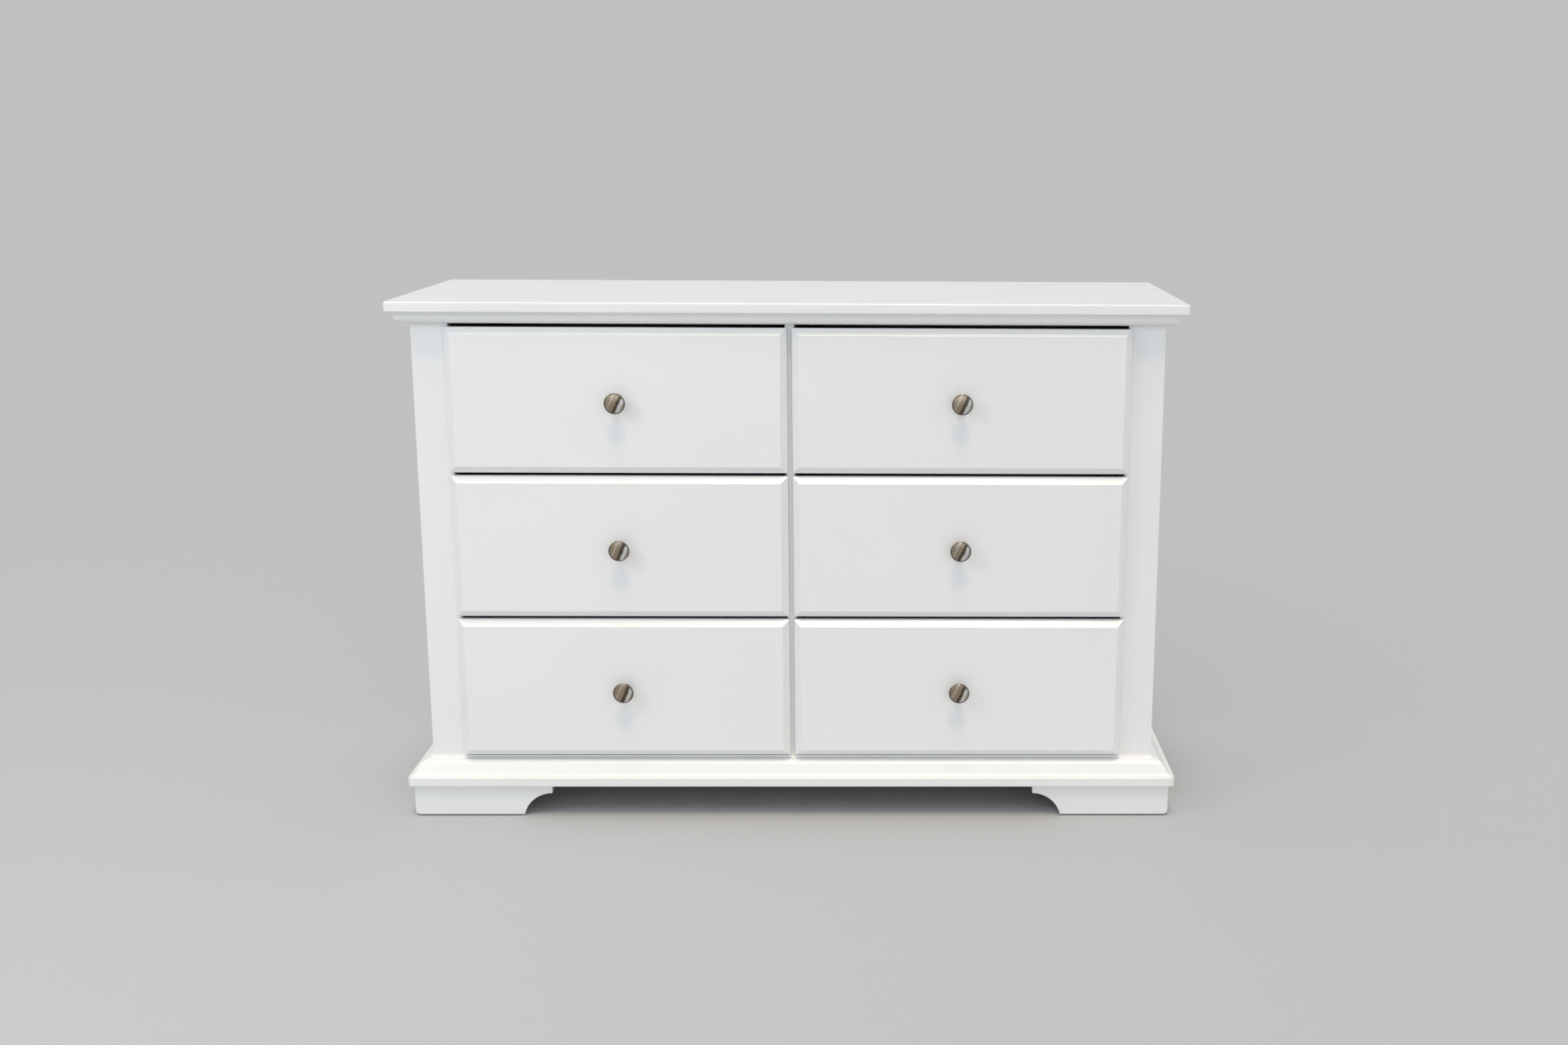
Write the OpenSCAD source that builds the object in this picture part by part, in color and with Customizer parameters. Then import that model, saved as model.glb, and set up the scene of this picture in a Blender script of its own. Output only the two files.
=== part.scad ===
// Painted double dresser: two columns of three drawers between face-frame stiles,
// a slab top on a crown moulding, an ogee base moulding and four bracket feet.
// Millimetres. +Z is up, +X is to the right seen from the front, the front faces -Y.
// The origin is on the floor, in the middle of the overall width and depth.

/* [Overall] */
// Width of the top, side to side
top_w = 1320; // [1200:10:1500]
// Depth of the top, front edge to back edge
top_d = 462; // [456:2:520]
// Height of the top surface above the floor
total_h = 891; // [858:3:960]
// Thickness of the top
top_t = 18; // [15:1:22]
// How far the top stands out past the case at the front and sides
top_overhang = 34; // [30:1:40]
// How far the top stands out past the back of the case
back_overhang = 6; // [0:1:15]
// Plan radius of the top's corners
top_corner_r = 6; // [2:1:12]
// Chamfer along the top's upper and lower edges
top_ease = 1.5; // [0.5:0.25:2.5]

/* [Case] */
// Thickness of the side panels
side_t = 18; // [15:1:20]
// Width of the two outer face-frame stiles
stile_w = 62; // [56:1:70]
// Thickness of the face frame, front to back
frame_t = 20; // [18:1:24]
// Width of the centre stile and thickness of the partition behind it
centre_w = 16; // [15:1:20]
// Height of the top rail behind the crown
top_rail_h = 18; // [15:1:24]
// Thickness of the bottom panel
bottom_t = 15; // [12:1:18]
// How far the bottom panel lies below the top of the base rail
bottom_drop = 5; // [2:1:10]
// Thickness of the back panel, and depth of the rebate that holds it
back_t = 6; // [4:1:8]
// Width of the rebate that holds the back panel
rebate_w = 9; // [6:1:10]
// Height of the upper and lower back rails
back_rail_h = 90; // [60:5:110]
// Thickness of the back rails
back_rail_t = 18; // [15:1:20]

/* [Mouldings] */
// Height of the crown moulding under the top
crown_h = 20; // [18:1:24]
// How far the crown stands out at its top
crown_out = 26; // [24:1:28]
// Height of the base moulding
base_h = 45; // [42:1:48]
// How far the base moulding's bottom bead stands out
base_out = 38; // [34:1:40]
// Height of the bottom bead
bead_h = 15; // [12:1:16]
// Plan radius of the bead's corners
bead_corner_r = 10; // [4:1:12]

/* [Feet] */
// Height of the space under the base moulding
foot_h = 57; // [50:1:60]
// Length of a foot along the front
foot_front_len = 237; // [200:1:260]
// Length of a foot along the side
foot_side_len = 130; // [110:1:150]
// How far the feet stand out past the case
foot_out = 28; // [24:1:30]
// Thickness of the foot boards
foot_t = 18; // [15:1:20]
// Length of the curve at a foot's inner end
foot_curve_run = 49; // [40:1:56]
// Height of the straight lip above the curve
foot_lip = 15.5; // [12:0.5:20]
// Gap between the foot boards and the floor
foot_clear = 3; // [1:0.5:4]
// Radius of the feet's lower outer corners
foot_corner_r = 8; // [4:1:10]
// Side of the square glue blocks inside the feet
block_w = 60; // [50:1:70]
// Height of the glides under the blocks
glide_h = 5.5; // [4:0.5:8]
// Diameter of the glides
glide_d = 24; // [18:1:30]

/* [Drawers] */
// Gap between drawer fronts, one above the other
row_gap = 5; // [4:0.5:6]
// Gap between the base moulding and the lowest fronts
low_gap = 4; // [3:0.5:6]
// Gap between the two columns of fronts
column_gap = 8; // [6:1:10]
// How far a front laps over the outer stile
stile_lap = 5; // [4:1:8]
// Thickness of a drawer front
front_t = 20; // [18:1:22]
// Width of the bevel round a front
bevel_w = 11.5; // [9:0.5:14]
// Depth of the bevel round a front
bevel_d = 10; // [6:1:12]
// Gap between a closed front and the face frame
front_gap = 1; // [0.5:0.5:2]
// Thickness of the drawer box boards
box_t = 12; // [11:1:14]
// Height of the drawer box
box_h = 190; // [150:5:200]
// Length of the drawer box, front to back
box_len = 370; // [360:2:372]
// Height of the box above the lower edge of its front
box_rise = 22; // [18:1:26]
// Thickness of the drawer floor
floor_t = 6; // [4:1:6]
// Height of the drawer floor above the box's lower edge
floor_rise = 12; // [10:1:16]
// How deep the drawer floor sits in its grooves
groove_d = 6; // [4:1:7]

/* [Knobs] */
// Diameter of a knob's head
knob_d = 35; // [30:1:38]
// How far a knob stands out of the drawer front
knob_out = 25; // [22:1:30]
// Diameter of a knob's foot
knob_foot_d = 17; // [14:1:20]
// Diameter of a knob's neck
knob_neck_d = 12; // [10:1:13]
// Diameter of the fixing screw
screw_d = 3.8; // [3.8:0.1:4]
// Diameter of the hole that the screw passes through
screw_hole_d = 4.4; // [4.2:0.1:5]

/* [Runners] */
// Length of a runner
runner_len = 350; // [340:5:355]
// Overall thickness of a runner
runner_w = 12.7; // [12.7:0.1:13]
// Overall height of a runner
runner_h = 45; // [42:1:46]
// Thickness of the runner's steel
runner_t = 1.2; // [1:0.1:1.4]
// Height of the runner's middle above the box's lower edge
runner_rise = 80; // [60:5:100]
// Thickness above and below a runner of the cleat behind it
cleat_margin = 6; // [2:1:10]

/* [Hidden] */
COLUMNS = ["left", "right"];
ROWS = ["upper", "middle", "lower"];
DRAWER_PIECES = ["front", "box", "floor", "knob", "runner", "slide"];
CASE_NODES = [
    "top_panel", "crown_front", "crown_left", "crown_right",
    "side_panel_left", "side_panel_right", "stile_left", "stile_right", "centre_stile",
    "face_rails", "partition", "bottom_panel", "back_panel", "back_rails",
    "base_moulding_front", "base_moulding_left", "base_moulding_right",
    "front_foot_left", "front_foot_right", "rear_feet", "foot_blocks", "foot_glides",
    "runner_cleats", "case_runners",
];
$fn = 48;
eps = 1;               // how far a cutter runs past the face it cuts
glue_line = 0.1;       // gap that a glued joint leaves between two boards
rail_drop = 1;         // how far the base rail lies below the moulding's top
arc_steps = 10;        // straight steps in one stretch of a moulding's curve

paint = "#e6e9eb";
raw_wood = "#d8bd93";
board = "#c9b08a";
steel = "#a9acb0";
nickel = "#8f8678";
nylon = "#d9d9d6";

// Front to back
front_reach = front_gap + front_t + knob_out;               // knob face to case face
overall_d = front_reach - top_overhang + top_d;
face_y = front_reach - overall_d / 2;                       // front of the face frame
back_y = overall_d / 2 - back_overhang;                     // back of the case
inner_front_y = face_y + frame_t;
inner_back_y = back_y - back_t;
front_back_y = face_y - front_gap;                          // back of the drawer fronts

// Side to side
case_w = top_w - 2 * top_overhang;
inner_w = case_w - 2 * side_t;
open_in = centre_w / 2;                                     // inner edge of a drawer opening
open_out = case_w / 2 - stile_w;                            // outer edge of a drawer opening
front_in = column_gap / 2;
front_out = open_out + stile_lap;
front_w = front_out - front_in;
knob_x = (front_in + front_out) / 2;
box_in = open_in + runner_w;
box_out = open_out - runner_w;

// The three nested members of a runner: how deep each channel is and how much lower than the outer one
runner_start = 2;                                           // set back from the face frame
case_depth = 0.78 * runner_w;
slide_depth = 0.56 * runner_w;
slide_x = 3.2;                                              // the middle member's web, from the case side
slide_drop = 4.2;
drawer_depth = 0.5 * runner_w;
drawer_drop = 11;
cleat_end = 10;                                             // how far a cleat runs past the runner

// Up and down
top_z = total_h - top_t;                                    // underside of the top
crown_z = top_z - crown_h;
base_z = foot_h + base_h;                                   // top of the base moulding
rail_top_z = base_z - rail_drop;                            // top of the base rail
panel_z = rail_top_z - bottom_drop;                         // top of the bottom panel
front_h = (crown_z - base_z - low_gap - 3 * row_gap) / 3;
row_pitch = front_h + row_gap;

function row_z(r) = base_z + low_gap + (len(ROWS) - 1 - r) * row_pitch;
function box_z(r) = row_z(r) + box_rise;
function runner_z(r) = box_z(r) + runner_rise;
function arc(cx, cy, rx, ry, a0, a1) =
    [for (i = [0:arc_steps]) let (a = a0 + (a1 - a0) * i / arc_steps) [cx + rx * cos(a), cy + ry * sin(a)]];

// Moulding outlines: X is the distance out from the case, Y is the height.
// The crown swells out from the case, steps to a small cove and ends in a flat fillet.
crown_lip = 2;                                              // flat under the swell
crown_swell_h = 13;
crown_shoulder = 5;                                         // how far the swell stays inside the fillet
crown_step = 0.5;
crown_cove_w = 4;
crown_fillet_h = 3;
crown_cove_z = crown_swell_h + crown_step;
crown_outline = concat(
    [[0, 0]],
    arc(crown_lip, crown_swell_h, crown_out - crown_lip - crown_shoulder, crown_swell_h, -90, 0),
    arc(crown_out, crown_cove_z, crown_cove_w, crown_h - crown_cove_z - crown_fillet_h, 180, 90),
    [[crown_out, crown_h], [0, crown_h]]
);

// The base runs from a square bead through a hollow and a swell to a small cove under the case.
bead_ease = 1;
hollow_r = 12;
hollow_end = 214;                                           // where the hollow turns into the swell
swell_w = 17;
swell_h = 21;
swell_start = 42;
cove_r = 4;
cove_out = 6;
base_outline = concat(
    [[0, 0], [base_out, 0], [base_out, bead_h - bead_ease], [base_out - bead_ease, bead_h]],
    arc(base_out - bead_ease, bead_h + hollow_r, hollow_r, hollow_r, 266, hollow_end),
    arc(cove_out, base_h - cove_r - swell_h, swell_w, swell_h, swell_start, 90),
    arc(cove_out, base_h, cove_r, cove_r, 264, 180),
    [[0, base_h]]
);

// A moulding outline run along X in front of the case, or along Y beside it.
module run_along_front(outline) {
    translate([-top_w, face_y, 0])
        rotate([90, 0, 90])
            linear_extrude(2 * top_w)
                mirror([1, 0]) polygon(outline);
}

module run_along_side(outline) {
    translate([case_w / 2, back_y, 0])
        rotate([90, 0, 0])
            linear_extrude(back_y - face_y + top_overhang)
                polygon(outline);
}

// Plan areas that cut the front and side runs to one mitre at each front corner.
module front_mitre(out) {
    polygon([
        [-case_w / 2 - out, face_y - out], [case_w / 2 + out, face_y - out],
        [case_w / 2, face_y], [-case_w / 2, face_y],
    ]);
}

module side_mitre(out) {
    polygon([
        [case_w / 2, face_y], [case_w / 2 + out, face_y - out],
        [case_w / 2 + out, back_y], [case_w / 2, back_y],
    ]);
}

// Plan area with rounded front corners, standing out from the case on three sides.
module rounded_plan(out, r) {
    half = case_w / 2 + out;
    polygon(concat(
        [[half, back_y], [-half, back_y]],
        arc(-half + r, face_y - out + r, r, r, 180, 270),
        arc(half - r, face_y - out + r, r, r, 270, 360)
    ));
}

module mirrored(side) {
    if (side == "left") mirror([1, 0, 0]) children();
    else children();
}

module box_between(low, high) {
    translate(low) cube(high - low);
}

// ---- Case ----

module top_panel() {
    half_w = top_w / 2;
    front_y = face_y - top_overhang;
    end_y = overall_d / 2;
    color(paint)
    intersection() {
        translate([0, 0, top_z])
            linear_extrude(top_t)
                polygon(concat(
                    [[half_w, end_y], [-half_w, end_y]],
                    arc(-half_w + top_corner_r, front_y + top_corner_r, top_corner_r, top_corner_r, 180, 270),
                    arc(half_w - top_corner_r, front_y + top_corner_r, top_corner_r, top_corner_r, 270, 360)
                ));
        translate([0, end_y, top_z])
            rotate([90, 0, 0])
                linear_extrude(top_d)
                    eased_section(-half_w, half_w, top_t, top_ease);
        translate([-half_w, 0, top_z])
            rotate([90, 0, 90])
                linear_extrude(top_w)
                    eased_section(front_y, end_y, top_t, top_ease);
    }
}

module eased_section(x0, x1, h, e) {
    polygon([
        [x0 + e, 0], [x1 - e, 0], [x1, e], [x1, h - e],
        [x1 - e, h], [x0 + e, h], [x0, h - e], [x0, e],
    ]);
}

module crown_front() {
    color(paint)
    intersection() {
        translate([0, 0, crown_z]) run_along_front(crown_outline);
        translate([0, 0, crown_z]) linear_extrude(crown_h) front_mitre(crown_out);
    }
}

module crown_side(side) {
    color(paint)
    mirrored(side)
    intersection() {
        translate([0, 0, crown_z]) run_along_side(crown_outline);
        translate([0, 0, crown_z]) linear_extrude(crown_h) side_mitre(crown_out);
    }
}

module side_panel(side) {
    color(paint)
    mirrored(side)
    difference() {
        box_between([inner_w / 2, inner_front_y, foot_h], [case_w / 2, back_y, top_z]);
        box_between(
            [inner_w / 2 - eps, inner_back_y, foot_h - eps],
            [inner_w / 2 + rebate_w, back_y + eps, top_z + eps]
        );
    }
}

module stile(side) {
    color(paint)
    mirrored(side)
        box_between([open_out, face_y, foot_h], [case_w / 2, inner_front_y, top_z]);
}

module centre_stile() {
    color(paint)
        box_between([-centre_w / 2, face_y, rail_top_z], [centre_w / 2, inner_front_y, top_z - top_rail_h]);
}

module face_rails() {
    color(paint) {
        box_between([-open_out, face_y, top_z - top_rail_h], [open_out, inner_front_y, top_z]);
        box_between([-open_out, face_y, foot_h], [open_out, inner_front_y, rail_top_z]);
    }
}

module partition() {
    color(board)
        box_between([-centre_w / 2, inner_front_y, panel_z], [centre_w / 2, inner_back_y, top_z]);
}

module bottom_panel() {
    color(board)
        box_between([-inner_w / 2, inner_front_y, panel_z - bottom_t], [inner_w / 2, inner_back_y, panel_z]);
}

module back_panel() {
    half = inner_w / 2 + rebate_w;
    color(board)
        box_between([-half, inner_back_y, foot_h], [half, back_y, top_z]);
}

module back_rails() {
    color(board)
    for (side = COLUMNS, z = [panel_z, top_z - back_rail_h])
        mirrored(side)
            box_between(
                [centre_w / 2, inner_back_y - back_rail_t, z],
                [inner_w / 2, inner_back_y, z + back_rail_h]
            );
}

module base_moulding_front() {
    color(paint)
    intersection() {
        translate([0, 0, foot_h]) run_along_front(base_outline);
        translate([0, 0, foot_h]) linear_extrude(base_h) front_mitre(base_out);
        translate([0, 0, foot_h]) linear_extrude(base_h) rounded_plan(base_out, bead_corner_r);
    }
}

module base_moulding_side(side) {
    color(paint)
    mirrored(side)
    intersection() {
        translate([0, 0, foot_h]) run_along_side(base_outline);
        translate([0, 0, foot_h]) linear_extrude(base_h) side_mitre(base_out);
        translate([0, 0, foot_h]) linear_extrude(base_h) rounded_plan(base_out, bead_corner_r);
    }
}

// ---- Feet ----

// Outline of a bracket foot board: X runs from the outer corner, Y is the height.
// The inner end is a short lip over a hollow curve that meets the floor end at a slant.
module foot_outline(length, corner_r) {
    rise = foot_h - foot_lip - foot_clear;
    curve_r = (foot_curve_run * foot_curve_run + rise * rise) / (2 * rise);
    curve_a = asin(foot_curve_run / curve_r);
    polygon(concat(
        [[0, foot_h]],
        arc(corner_r, foot_clear + corner_r, corner_r, corner_r, 180, 270),
        arc(length, foot_clear + rise - curve_r, curve_r, curve_r, 90 + curve_a, 90),
        [[length, foot_h]]
    ));
}

// The front board of a front foot, with its mitred outer corner.
module foot_front_board() {
    outer = case_w / 2 + foot_out;
    intersection() {
        translate([outer, face_y - foot_out, 0])
            rotate([90, 0, 0])
                mirror([0, 0, 1])
                    linear_extrude(foot_t)
                        mirror([1, 0]) foot_outline(foot_front_len, foot_corner_r);
        linear_extrude(foot_h)
            polygon([
                [outer, face_y - foot_out], [outer - foot_front_len, face_y - foot_out],
                [outer - foot_front_len, face_y - foot_out + foot_t],
                [outer - foot_t, face_y - foot_out + foot_t],
            ]);
    }
}

// A side board, running back from start_y (dir 1) or forward from it (dir -1).
module foot_side_board(start_y, dir) {
    outer = case_w / 2 + foot_out;
    translate([outer - foot_t, start_y, 0])
        rotate([90, 0, 90])
            linear_extrude(foot_t)
                mirror([dir < 0 ? 1 : 0, 0]) foot_outline(foot_side_len, foot_corner_r);
}

module front_foot(side) {
    outer = case_w / 2 + foot_out;
    front = face_y - foot_out;
    color(paint)
    mirrored(side) {
        foot_front_board();
        intersection() {
            foot_side_board(front, 1);
            translate([0, glue_line, 0])
                linear_extrude(foot_h)
                    polygon([
                        [outer, front], [outer, front + foot_side_len],
                        [outer - foot_t, front + foot_side_len], [outer - foot_t, front + foot_t],
                    ]);
        }
    }
}

module rear_feet() {
    outer = case_w / 2 + foot_out;
    color(paint)
    for (side = COLUMNS)
        mirrored(side) {
            foot_side_board(back_y, -1);
            box_between(
                [outer - foot_side_len, back_y - foot_t, foot_clear],
                [outer - foot_t - glue_line, back_y, foot_h]
            );
        }
}

function block_x() = case_w / 2 + foot_out - foot_t - block_w;
function block_ys() = [face_y - foot_out + foot_t, back_y - foot_t - block_w];

module foot_blocks() {
    color(raw_wood)
    for (side = COLUMNS, y = block_ys())
        mirrored(side)
            box_between([block_x(), y, glide_h], [block_x() + block_w, y + block_w, foot_h]);
}

module foot_glides() {
    color(nylon)
    for (side = COLUMNS, y = block_ys())
        mirrored(side)
            translate([block_x() + block_w / 2, y + block_w / 2, 0])
                cylinder(h = glide_h, d = glide_d);
}

// ---- Runners ----

// A steel channel seen from its end: web at X = 0, open towards +X.
module channel(web_h, depth) {
    translate([0, -web_h / 2]) square([runner_t, web_h]);
    for (y = [-web_h / 2, web_h / 2 - runner_t])
        translate([0, y]) square([depth, runner_t]);
}

// Runner members on both sides of one bay; x is measured from the case towards the box.
module runner_pair(r, side, x, web_h, depth, facing) {
    start_y = face_y + runner_start;
    mirrored(side)
    for (end = [0, 1])
        translate([end == 0 ? open_in + x : open_out - x, start_y + runner_len, runner_z(r)])
            mirror([end, 0, 0])
                rotate([90, 0, 0])
                    linear_extrude(runner_len)
                        mirror([facing < 0 ? 1 : 0, 0]) channel(web_h, depth);
}

module case_runners() {
    color(steel)
    for (side = COLUMNS, r = [0:2])
        runner_pair(r, side, 0, runner_h, case_depth, 1);
}

module runner_cleats() {
    half = runner_h / 2 + cleat_margin;
    color(raw_wood)
    for (side = COLUMNS, r = [0:2])
        mirrored(side)
            box_between(
                [open_out, inner_front_y, runner_z(r) - half],
                [inner_w / 2, face_y + runner_len + cleat_end, runner_z(r) + half]
            );
}

module drawer_slide(r, side) {
    color(steel)
        runner_pair(r, side, slide_x, runner_h - slide_drop, slide_depth, 1);
}

module drawer_runner(r, side) {
    color(steel)
        runner_pair(r, side, runner_w, runner_h - drawer_drop, drawer_depth, -1);
}

// ---- Drawers ----

module bevelled_section(x0, x1) {
    polygon([
        [x0, 0], [x0, front_t - bevel_d], [x0 + bevel_w, front_t],
        [x1 - bevel_w, front_t], [x1, front_t - bevel_d], [x1, 0],
    ]);
}

module screw_hole(r, y0, y1) {
    translate([knob_x, y1, row_z(r) + front_h / 2])
        rotate([90, 0, 0])
            cylinder(h = y1 - y0, d = screw_hole_d);
}

module drawer_front(r, side) {
    z = row_z(r);
    color(paint)
    mirrored(side)
    difference() {
        intersection() {
            translate([0, front_back_y, z])
                mirror([0, 1, 0])
                    linear_extrude(front_h)
                        bevelled_section(front_in, front_out);
            translate([front_in, front_back_y, 0])
                rotate([0, -90, 180])
                    linear_extrude(front_w)
                        bevelled_section(z, z + front_h);
        }
        screw_hole(r, front_back_y - front_t - eps, front_back_y + eps);
    }
}

module box_groove(r) {
    z = box_z(r) + floor_rise;
    box_between(
        [box_in + box_t - groove_d, front_back_y + box_t - groove_d, z],
        [box_out - box_t + groove_d, front_back_y + box_len - box_t + groove_d, z + floor_t]
    );
}

// Four boards: two sides that run the full length, and two ends between them.
module drawer_box(r, side) {
    z = box_z(r);
    end_in = box_in + box_t + glue_line;
    end_out = box_out - box_t - glue_line;
    color(raw_wood)
    mirrored(side)
    difference() {
        union() {
            for (x = [box_in, box_out - box_t])
                box_between([x, front_back_y, z], [x + box_t, front_back_y + box_len, z + box_h]);
            for (y = [front_back_y, front_back_y + box_len - box_t])
                box_between([end_in, y, z], [end_out, y + box_t, z + box_h]);
        }
        box_groove(r);
        screw_hole(r, front_back_y - eps, front_back_y + box_t + eps);
    }
}

module drawer_floor(r, side) {
    color(board)
    mirrored(side)
        box_groove(r);
}

// A turned knob seen from its side: a waisted neck under a flared head with a slightly domed face.
module knob_section() {
    foot_r = knob_foot_d / 2;
    flange_h = 2;
    neck_r = knob_neck_d / 2;
    waist_y = 8;
    flare_y = 10;
    head_r = knob_d / 2;
    rim_r = 1;
    rim_y = knob_out - 6;
    dome_r = 120;
    edge_y = knob_out - dome_r + sqrt(dome_r * dome_r - head_r * head_r);
    polygon(concat(
        [[0, 0], [foot_r, 0], [foot_r, flange_h]],
        arc(foot_r, waist_y, foot_r - neck_r, waist_y - flange_h, 264, 180),
        [[neck_r, flare_y], [head_r - rim_r, rim_y], [head_r, rim_y + 1.5 * rim_r]],
        [[head_r, edge_y - rim_r], [head_r - rim_r, edge_y + 0.2 * rim_r]],
        [[0.6 * head_r, knob_out - 0.3 * (knob_out - edge_y)], [0, knob_out]]
    ));
}

// The knob, and the screw that holds it from inside the drawer.
module drawer_knob(r, side) {
    thread_h = 8;
    thread_hole_d = 4.2;
    head_d = 8;
    head_h = 2.5;
    grip = front_t + box_t;
    color(nickel)
    mirrored(side)
        translate([knob_x, front_back_y - front_t, row_z(r) + front_h / 2])
            rotate([90, 0, 0]) {
                difference() {
                    rotate_extrude() knob_section();
                    translate([0, 0, -eps]) cylinder(h = thread_h + 2 * eps, d = thread_hole_d);
                }
                translate([0, 0, -grip])
                    cylinder(h = grip + thread_h, d = screw_d);
                translate([0, 0, -grip - head_h])
                    cylinder(h = head_h, d = head_d);
            }
}

top_panel();
crown_front();
crown_side("left");  // crown_left
crown_side("right");  // crown_right
side_panel("left");  // side_panel_left
side_panel("right");  // side_panel_right
stile("left");  // stile_left
stile("right");  // stile_right
centre_stile();
face_rails();
partition();
bottom_panel();
back_panel();
back_rails();
base_moulding_front();
base_moulding_side("left");  // base_moulding_left
base_moulding_side("right");  // base_moulding_right
front_foot("left");  // front_foot_left
front_foot("right");  // front_foot_right
rear_feet();
foot_blocks();
foot_glides();
runner_cleats();
case_runners();
for (r = [0:2], side = COLUMNS) {
    drawer = str(ROWS[r], "_", side);
    drawer_front(r, side);
    drawer_box(r, side);
    drawer_floor(r, side);
    drawer_knob(r, side);
    drawer_runner(r, side);
    drawer_slide(r, side);
}
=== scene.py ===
# Painted double dresser: six bevelled drawers, a moulded case on bracket feet and nickel knobs.
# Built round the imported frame, in metres: +X is to the right, the front faces -Y, +Z is up.
import math

import bmesh
import bpy
from mathutils import Matrix, Vector


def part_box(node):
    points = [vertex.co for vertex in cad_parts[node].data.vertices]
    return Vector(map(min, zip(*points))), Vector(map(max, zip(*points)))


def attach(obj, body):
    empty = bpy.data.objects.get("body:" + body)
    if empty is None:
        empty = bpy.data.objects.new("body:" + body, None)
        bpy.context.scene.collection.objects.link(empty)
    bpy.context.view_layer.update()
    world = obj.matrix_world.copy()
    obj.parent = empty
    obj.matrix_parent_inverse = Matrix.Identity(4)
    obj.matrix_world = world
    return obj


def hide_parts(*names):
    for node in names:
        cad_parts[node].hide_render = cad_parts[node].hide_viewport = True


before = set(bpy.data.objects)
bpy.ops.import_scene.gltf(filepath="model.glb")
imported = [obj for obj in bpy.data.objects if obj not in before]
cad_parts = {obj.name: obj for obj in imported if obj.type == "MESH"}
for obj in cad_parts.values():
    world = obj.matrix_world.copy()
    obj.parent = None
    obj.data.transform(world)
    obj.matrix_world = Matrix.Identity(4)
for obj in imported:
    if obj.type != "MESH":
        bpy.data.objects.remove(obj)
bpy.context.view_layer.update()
rowNames = ("upper", "middle", "lower")
columnNames = ("left", "right")
drawerNames = [f"{row}_{column}" for row in rowNames for column in columnNames]
firstDrawer = drawerNames[0]
mm = 0.001

# Planes of the case that most pieces are placed from
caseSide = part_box("side_panel_right")[1].x  # outer face of the right side panel
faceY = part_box("stile_right")[0].y  # front of the face frame
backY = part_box("side_panel_right")[1].y
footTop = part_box("front_foot_right")[1].z
print("frame loaded:", len(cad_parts), "nodes")


# Modelling helpers

def clearSelection():
    if bpy.context.mode != "OBJECT":
        bpy.ops.object.mode_set(mode="OBJECT")
    bpy.ops.object.select_all(action="DESELECT")


def makeActive(piece):
    clearSelection()
    piece.select_set(True)
    bpy.context.view_layer.objects.active = piece


def startEdit(piece, mode="VERT"):
    makeActive(piece)
    bpy.ops.object.mode_set(mode="EDIT")
    bpy.ops.mesh.select_mode(type=mode)


def endEdit():
    bpy.ops.object.mode_set(mode="OBJECT")


def placePiece(piece, name):
    # puts a new piece's place and size into its mesh
    piece.name = name
    piece.data.name = name
    makeActive(piece)
    bpy.ops.object.transform_apply(location=True, rotation=True, scale=True)
    return piece


def addBlock(name, low, high):
    clearSelection()
    low, high = Vector(low), Vector(high)
    bpy.ops.mesh.primitive_cube_add(size=1, location=(low + high) / 2)
    piece = bpy.context.active_object
    piece.scale = high - low
    return placePiece(piece, name)


def addRod(name, start, end, radius, sides=32):
    clearSelection()
    start, end = Vector(start), Vector(end)
    turn = (end - start).to_track_quat("Z", "Y").to_euler()
    bpy.ops.mesh.primitive_cylinder_add(
        vertices=sides, radius=radius, depth=(end - start).length, location=(start + end) / 2, rotation=turn
    )
    return placePiece(bpy.context.active_object, name)


def weld(piece, distance=0.01 * mm):
    startEdit(piece)
    bpy.ops.mesh.select_all(action="SELECT")
    bpy.ops.mesh.remove_doubles(threshold=distance)
    bpy.ops.mesh.normals_make_consistent(inside=False)
    endEdit()


def drawLine(name, points):
    # a chain of edges drawn by extruding one vertex from point to point
    clearSelection()
    bpy.ops.mesh.primitive_plane_add(size=mm, location=points[0])
    piece = bpy.context.active_object
    startEdit(piece)
    bpy.ops.mesh.select_all(action="SELECT")
    bpy.ops.mesh.merge(type="CENTER")
    for here, there in zip(points, points[1:]):
        bpy.ops.mesh.extrude_region_move(TRANSFORM_OT_translate={"value": there - here})
    endEdit()
    return placePiece(piece, name)


def extrudeOutline(name, points, run):
    # closes an outline to one face and extrudes it along run
    piece = drawLine(name, points)
    startEdit(piece)
    bpy.ops.mesh.select_all(action="SELECT")
    bpy.ops.mesh.edge_face_add()
    bpy.ops.mesh.extrude_region_move(TRANSFORM_OT_translate={"value": run})
    endEdit()
    return piece


def spinOutline(name, points, centre, axis, steps):
    piece = drawLine(name, points)
    startEdit(piece)
    bpy.ops.mesh.select_all(action="SELECT")
    bpy.ops.mesh.spin(steps=steps, angle=math.tau, center=centre, axis=axis)
    endEdit()
    weld(piece)
    return piece


def pick(piece, mode, test):
    # selects the edges or faces that pass a test, and leaves the piece in edit mode
    startEdit(piece, mode)
    bpy.ops.mesh.select_all(action="DESELECT")
    mesh = bmesh.from_edit_mesh(piece.data)
    for element in mesh.edges if mode == "EDGE" else mesh.faces:
        element.select_set(test(element))
    bmesh.update_edit_mesh(piece.data)


def isSharp(edge, degrees=40):
    return len(edge.link_faces) == 2 and edge.calc_face_angle(0) > math.radians(degrees)


def easeEdges(piece, width, segments=2, test=isSharp):
    pick(piece, "EDGE", test)
    bpy.ops.mesh.bevel(offset=width, segments=segments, profile=0.5, affect="EDGES", clamp_overlap=True)
    endEdit()


def cutAt(piece, place, outward, fill=True):
    # cuts the piece on a plane and clears what lies on the plane's outer side
    startEdit(piece)
    bpy.ops.mesh.select_all(action="SELECT")
    bpy.ops.mesh.bisect(
        plane_co=place, plane_no=outward, use_fill=fill, clear_outer=True, threshold=0.001 * mm
    )
    endEdit()


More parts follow.
